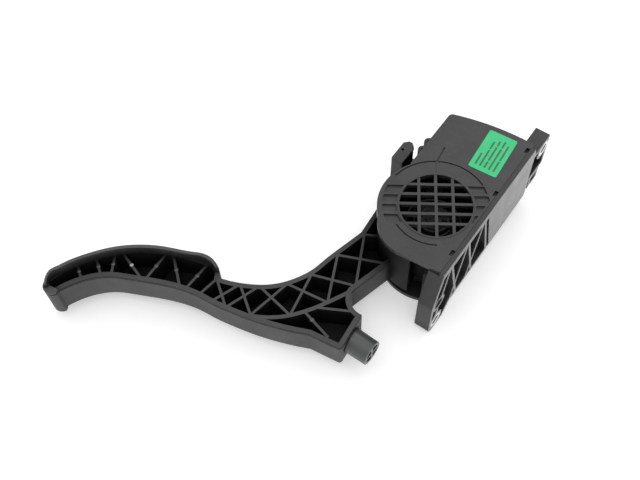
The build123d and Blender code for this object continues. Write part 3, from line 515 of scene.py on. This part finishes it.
@dataclass
class Finishes:
    """All the materials of the part, made once."""

    housing: bpy.types.Material
    cover: bpy.types.Material
    arm: bpy.types.Material
    peg: bpy.types.Material
    # Pale finish of one ejector mark: a painted highlight.
    rubbed: bpy.types.Material
    label: bpy.types.Material
    ink: bpy.types.Material
    board: bpy.types.Material
    resin: bpy.types.Material
    friction: bpy.types.Material
    rubber: bpy.types.Material
    steel: bpy.types.Material
    black_steel: bpy.types.Material
    dark_liner: bpy.types.Material
    wire: bpy.types.Material
    pin: bpy.types.Material
    bronze: bpy.types.Material
    nickel: bpy.types.Material

    @classmethod
    def make(cls) -> "Finishes":
        """Returns the finished set."""
        pale = (0.20, 0.205, 0.205)
        return cls(
            housing=MouldedPlastic("housing_nylon", (0.028, 0.0285, 0.0285), pale, roughness=0.55, gloss=0.38,
                                   edge_radius=0.0006, rubbed=True).make(),
            cover=MouldedPlastic("cover_nylon", (0.021, 0.0215, 0.021), pale, roughness=0.5).make(),
            # The arm gets painted shade deep in its cells and round the hub under the cover.
            arm=MouldedPlastic("arm_nylon", (0.085, 0.0855, 0.085), pale, roughness=0.58, gloss=0.14,
                               edge_share=0.7, painted_recess_shade=0.05, painted_shade_span=(0.62, 0.9), own_shade=True,
                               seam_level=9.8 * MM, hub=(PIVOT_X, 0.0, 33.5 * MM)).make(),
            peg=MouldedPlastic("peg_nylon", (0.055, 0.060, 0.057), pale, roughness=0.4).make(),
            # Painted highlight: the pale finish of the one ejector mark that shows a glint.
            rubbed=MouldedPlastic("rubbed_nylon", (0.38, 0.38, 0.375), (0.6, 0.6, 0.6),
                                  roughness=0.35).make(),
            label=FilmLabel("label_film", (0.011, 0.47, 0.163), (0.028, 0.57, 0.226)).make(),
            ink=FilmLabel("label_ink", (0.01, 0.13, 0.045), (0.02, 0.18, 0.07)).make(),
            board=SolderMask("board_mask", (0.012, 0.10, 0.04), (0.06, 0.22, 0.10)).make(),
            resin=MouldedPlastic("chip_resin", (0.018, 0.018, 0.018), pale, 0.55, dust=0.05).make(),
            friction=MouldedPlastic("friction_lining", (0.16, 0.12, 0.09), (0.3, 0.25, 0.2), 0.75).make(),
            rubber=Rubber("stop_rubber", (0.018, 0.018, 0.018), (0.07, 0.07, 0.07)).make(),
            steel=TurnedMetal("sleeve_steel", (0.62, 0.61, 0.59), (0.40, 0.38, 0.34), 0.28, 900.0).make(),
            black_steel=TurnedMetal("shaft_black", (0.035, 0.035, 0.037), (0.018, 0.018, 0.018), 0.42,
                                    900.0).make(),
            dark_liner=MouldedPlastic("liner_black", (0.016, 0.016, 0.017), pale, 0.5, dust=0.05).make(),
            wire=TurnedMetal("spring_wire", (0.03, 0.03, 0.032), (0.015, 0.015, 0.015), 0.4, 1500.0,
                             LineAxis.UPRIGHT).make(),
            pin=TurnedMetal("pin_tin", (0.72, 0.66, 0.48), (0.5, 0.45, 0.3), 0.3, 1200.0).make(),
            bronze=TurnedMetal("bush_bronze", (0.50, 0.33, 0.15), (0.30, 0.18, 0.08), 0.42, 1300.0,
                               LineAxis.UPRIGHT).make(),
            nickel=TurnedMetal("magnet_nickel", (0.55, 0.54, 0.52), (0.35, 0.34, 0.33), 0.3, 700.0,
                               LineAxis.UPRIGHT).make(),
        )


def dress(node: str, material: bpy.types.Material) -> None:
    """Gives one node of the frame its material.

    Args:
        node: Name of the node.
        material: Its new material.
    """
    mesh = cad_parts[node].data
    mesh.materials.clear()
    mesh.materials.append(material)
    LOG.info("dressed %s with %s", node, material.name)


def dress_all(nodes: Iterable[str], material: bpy.types.Material) -> None:
    """Gives several nodes one material."""
    for node in nodes:
        dress(node, material)


@dataclass
class Housing:
    """Bracket, cover, label, sleeves and stops."""

    label_turn: float = 4.0
    bar_height: float = 0.03 * MM
    bar_width: float = 1.15 * MM
    bar_corner: float = 0.25 * MM
    bar_start: float = -11.9 * MM
    bar_pitch: float = 2.9 * MM
    bar_gap: float = 0.9 * MM
    bar_rows: Sequence[Tuple[float, ...]] = ((9.0,), (13.0, 6.0), (5.0, 11.0, 4.0), (17.0, 5.0), (8.0, 12.0))

    def dress(self, finishes: Finishes) -> None:
        """Gives the housing's nodes their materials."""
        dress("bracket", finishes.housing)
        dress("cover", finishes.cover)
        dress("label", finishes.label)
        dress_all(("sensor_seal", "rest_bumper", "full_travel_bumper"), finishes.rubber)
        dress_all(("upper_bolt_sleeve", "lower_bolt_sleeve"), finishes.steel)
        dress_all(("pivot_shaft", "retaining_ring"), finishes.black_steel)
        dress_all(("lower_thrust_washer", "upper_thrust_washer"), finishes.dark_liner)
        dress("friction_ring", finishes.friction)

    def print_bars(self, finishes: Finishes) -> bpy.types.Object:
        """Lays rows of plain bars on the label, where the real one is printed.

        Args:
            finishes: The part's materials.

        Returns:
            The piece.
        """
        low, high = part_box("label")
        middle = (Vector(low) + Vector(high)) / 2
        turn = Matrix.Rotation(math.radians(self.label_turn), 4, "Z")
        build = bmesh.new()
        for row, lengths in enumerate(self.bar_rows):
            across = (row - (len(self.bar_rows) - 1) / 2) * self.bar_pitch
            along = self.bar_start
            for length in lengths:
                span = length * MM
                offset = turn @ Vector((across, along + span / 2, 0.0))
                centre = (middle.x + offset.x, middle.y + offset.y, high[2])
                size = (self.bar_width, span, self.bar_height)
                add_tablet(build, centre, size, self.label_turn, self.bar_corner)
                along += span + self.bar_gap
        return new_piece("label_bars", build, finishes.ink, Body.HOUSING, smooth=False)


@dataclass
class Connector:
    """Wiring socket, its pins and the sensor parts behind it."""

    def dress(self, finishes: Finishes) -> None:
        """Gives the connector's and the sensor's nodes their materials."""
        dress("connector_socket", finishes.housing)
        dress("connector_pins", finishes.pin)
        dress("sensor_board", finishes.board)
        dress("hall_sensors", finishes.resin)
        dress("magnet_carrier", finishes.arm)
        dress("magnet", finishes.nickel)


@dataclass
class PedalArm:
    """Pedal arm with its peg, bushes and the ejector marks on its ribs."""

    mark_radius: float = 1.1 * MM
    mark_height: float = 0.12 * MM
    mark_places: Sequence[Tuple[float, float]] = (
        (-157.0, -141.2), (-149.8, -132.2), (-143.5, -126.0), (-121.5, -112.2), (-110.0, -107.5),
        (-97.2, -103.5), (-25.1, -88.0),
    )
    # Place and height of the ejector mark with a painted highlight.
    rubbed_place: Tuple[float, float] = (-134.0, -120.2)
    rubbed_height: float = 0.18 * MM

    def dress(self, finishes: Finishes) -> None:
        """Gives the pedal's nodes their materials."""
        dress("pedal_arm", finishes.arm)
        dress("stop_peg", finishes.peg)
        dress_all(("lower_bush", "upper_bush"), finishes.bronze)
        dress("spring_sleeve", finishes.dark_liner)

    def ejector_marks(self, finishes: Finishes) -> bpy.types.Object:
        """Adds the round marks that the mould's pins leave on the pad's ribs.

        Args:
            finishes: The part's materials.

        Returns:
            The piece.
        """
        build = bmesh.new()
        for x, y in self.mark_places:
            add_button(build, (x * MM + PIVOT_X, y * MM, RIM_Z), self.mark_radius, self.mark_height)
        return new_piece("ejector_marks", build, finishes.peg, Body.PEDAL)

    def rubbed_mark(self, finishes: Finishes) -> bpy.types.Object:
        """Adds one ejector mark in a pale finish: a painted highlight where it shows a glint.

        Args:
            finishes: The part's materials.

        Returns:
            The piece.
        """
        build = bmesh.new()
        x, y = self.rubbed_place
        add_button(build, (x * MM + PIVOT_X, y * MM, RIM_Z), self.mark_radius, self.rubbed_height)
        return new_piece("rubbed_mark", build, finishes.rubbed, Body.PEDAL)


@dataclass
class ReturnSpring:
    """One smooth coil that stands for a faceted spring of the frame."""

    node: str
    radius: float
    wire: float
    turns: int
    steps: int = 40
    sides: int = 12

    def build(self, finishes: Finishes) -> bpy.types.Object:
        """Sweeps a round wire along the coil.

        Args:
            finishes: The part's materials.

        Returns:
            The piece.
        """
        low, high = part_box(self.node)
        centre = Vector(((low[0] + high[0]) / 2, (low[1] + high[1]) / 2, low[2] + self.wire))
        rise = high[2] - low[2] - 2 * self.wire
        total = self.turns * self.steps
        build = bmesh.new()
        rings = []
        for k in range(total + 1):
            angle = 2 * math.pi * k / self.steps
            out = Vector((math.cos(angle), math.sin(angle), 0.0))
            middle = centre + out * self.radius + Vector((0.0, 0.0, rise * k / total))
            rings.append([
                build.verts.new(middle + out * (self.wire * math.cos(2 * math.pi * s / self.sides))
                                + Vector((0.0, 0.0, self.wire * math.sin(2 * math.pi * s / self.sides))))
                for s in range(self.sides)
            ])
        for first, second in zip(rings, rings[1:]):
            for s in range(self.sides):
                t = (s + 1) % self.sides
                build.faces.new((first[s], first[t], second[t], second[s]))
        build.faces.new(rings[0][::-1])
        build.faces.new(rings[-1])
        piece = new_piece(self.node + "_coil", build, finishes.wire, Body.HOUSING)
        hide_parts(self.node)
        return piece


@dataclass(frozen=True)
class Lamp:
    """One soft square lamp: where it hangs in metres, its side and its power in watts."""

    name: str
    place: Point
    size: float
    power: float

    def hang(self, aim: Point) -> None:
        """Hangs the lamp so that it faces a point.

        Args:
            aim: That point.
        """
        data = bpy.data.lights.new(self.name, "AREA")
        data.size = self.size
        data.energy = self.power
        lamp = bpy.data.objects.new(self.name, data)
        lamp.location = self.place
        lamp.rotation_euler = (Vector(aim) - Vector(self.place)).to_track_quat("-Z", "Y").to_euler()
        bpy.context.scene.collection.objects.link(lamp)


@dataclass
class Studio:
    """White floor, soft lamps and the camera at the photograph's angle."""

    camera_place: Point = (87.6 * MM, -253.3 * MM, 470.5 * MM)
    camera_right: Point = (0.8122, 0.5826, -0.0291)
    camera_forward: Point = (-0.3144, 0.3953, -0.8631)
    focal_pixels: float = 890.0
    image_width: float = 640.0
    sensor: float = 36.0
    floor_half: float = 4.0
    floor_glow: float = 0.34
    floor_fade: Tuple[float, float] = (0.7, 1.8)
    floor_far_glow: float = 0.6
    floor_sheen: float = 0.55
    ambient: float = 0.68
    surround: float = 0.8
    lamp_aim: Point = (-0.08, -0.04, 0.0)
    lamps: Sequence[Lamp] = (
        Lamp("top_lamp", (0.1, -0.15, 1.4), 1.5, 8.0),
        Lamp("back_lamp", (-0.33, 1.15, 1.15), 0.8, 5.0),
        Lamp("fill_lamp", (0.5, -0.7, 0.35), 0.6, 0.9),
    )

    def floor(self) -> bpy.types.Object:
        """Lays the pale floor under the part.

        Returns:
            The floor.
        """
        level = CAD_BOX[0][2]
        mesh = bpy.data.meshes.new("studio_floor")
        half = self.floor_half
        corners = ((-half, -half), (half, -half), (half, half), (-half, half))
        mesh.from_pydata([(x, y, level) for x, y in corners], [], [(0, 1, 2, 3)])
        plane = bpy.data.objects.new("studio_floor", mesh)
        bpy.context.scene.collection.objects.link(plane)
        kit = NodeKit("floor_paper")
        path = kit.add("ShaderNodeLightPath").outputs
        cloud = kit.span(kit.noise(6.0, 2.0), (0.3, 0.7), (0.0, 1.0))
        paper = kit.blend(cloud, (0.80, 0.80, 0.80), (0.82, 0.82, 0.82))
        out = kit.add("ShaderNodeVectorMath", {0: kit.place}, operation="LENGTH").outputs["Value"]
        seen = kit.span(out, self.floor_fade, (self.floor_glow, self.floor_far_glow))
        glow = kit.maths("ADD", kit.maths("MULTIPLY", path["Is Camera Ray"], seen),
                         kit.maths("MULTIPLY", path["Is Glossy Ray"], self.floor_sheen))
        mesh.materials.append(kit.finish({
            "Base Color": paper, "Roughness": 0.9,
            "Emission Color": (1.0, 1.0, 1.0, 1.0), "Emission Strength": glow,
        }))
        return plane

    def world(self) -> None:
        """Sets a white surround that lights the part softly."""
        world = bpy.data.worlds.new("studio_world")
        bpy.context.scene.world = world
        world.use_nodes = True
        nodes, links = world.node_tree.nodes, world.node_tree.links
        nodes.clear()
        output = nodes.new("ShaderNodeOutputWorld")
        back = nodes.new("ShaderNodeBackground")
        back.inputs["Color"].default_value = (1.0, 1.0, 1.0, 1.0)
        path = nodes.new("ShaderNodeLightPath").outputs
        shares = ((path["Is Camera Ray"], 1.0), (path["Is Transmission Ray"], 1.0),
                  (path["Is Glossy Ray"], self.surround))
        level = None
        for ray, share in shares:
            scaled = nodes.new("ShaderNodeMath")
            scaled.operation = "MULTIPLY"
            scaled.inputs[1].default_value = share
            links.new(ray, scaled.inputs[0])
            highest = nodes.new("ShaderNodeMath")
            highest.operation = "MAXIMUM"
            highest.inputs[1].default_value = self.ambient
            links.new(scaled.outputs[0], highest.inputs[0])
            if level is not None:
                links.new(level, highest.inputs[1])
            level = highest.outputs[0]
        links.new(level, back.inputs["Strength"])
        links.new(back.outputs["Background"], output.inputs["Surface"])

    def camera(self) -> None:
        """Sets the camera where the photograph was taken."""
        data = bpy.data.cameras.new("photo_camera")
        data.sensor_width = self.sensor
        data.sensor_fit = "HORIZONTAL"
        data.lens = self.focal_pixels / self.image_width * self.sensor
        data.clip_start = 0.01
        forward = Vector(self.camera_forward).normalized()
        right = Vector(self.camera_right)
        right = (right - forward * right.dot(forward)).normalized()
        up = right.cross(forward)
        turn = Matrix((right, up, -forward)).transposed().to_4x4()
        camera = bpy.data.objects.new("photo_camera", data)
        camera.matrix_world = Matrix.Translation(Vector(self.camera_place)) @ turn
        bpy.context.scene.collection.objects.link(camera)
        bpy.context.scene.camera = camera

    def build(self) -> None:
        """Sets up floor, surround, lamps and camera."""
        self.floor()
        self.world()
        for lamp in self.lamps:
            lamp.hang(self.lamp_aim)
        self.camera()
        bpy.context.scene.view_settings.view_transform = "Standard"


def main() -> None:
    """Builds and dresses the whole part and its studio."""
    logging.basicConfig(level=logging.INFO, format="%(name)s: %(message)s")
    finishes = Finishes.make()
    housing = Housing()
    housing.dress(finishes)
    housing.print_bars(finishes)
    Connector().dress(finishes)
    arm = PedalArm()
    arm.dress(finishes)
    arm.ejector_marks(finishes)
    arm.rubbed_mark(finishes)
    ReturnSpring("outer_return_spring", 16.6 * MM, 1.5 * MM, 5).build(finishes)
    ReturnSpring("inner_return_spring", 11.4 * MM, 1.1 * MM, 6).build(finishes)
    Studio().build()


if __name__ == "__main__":
    main()
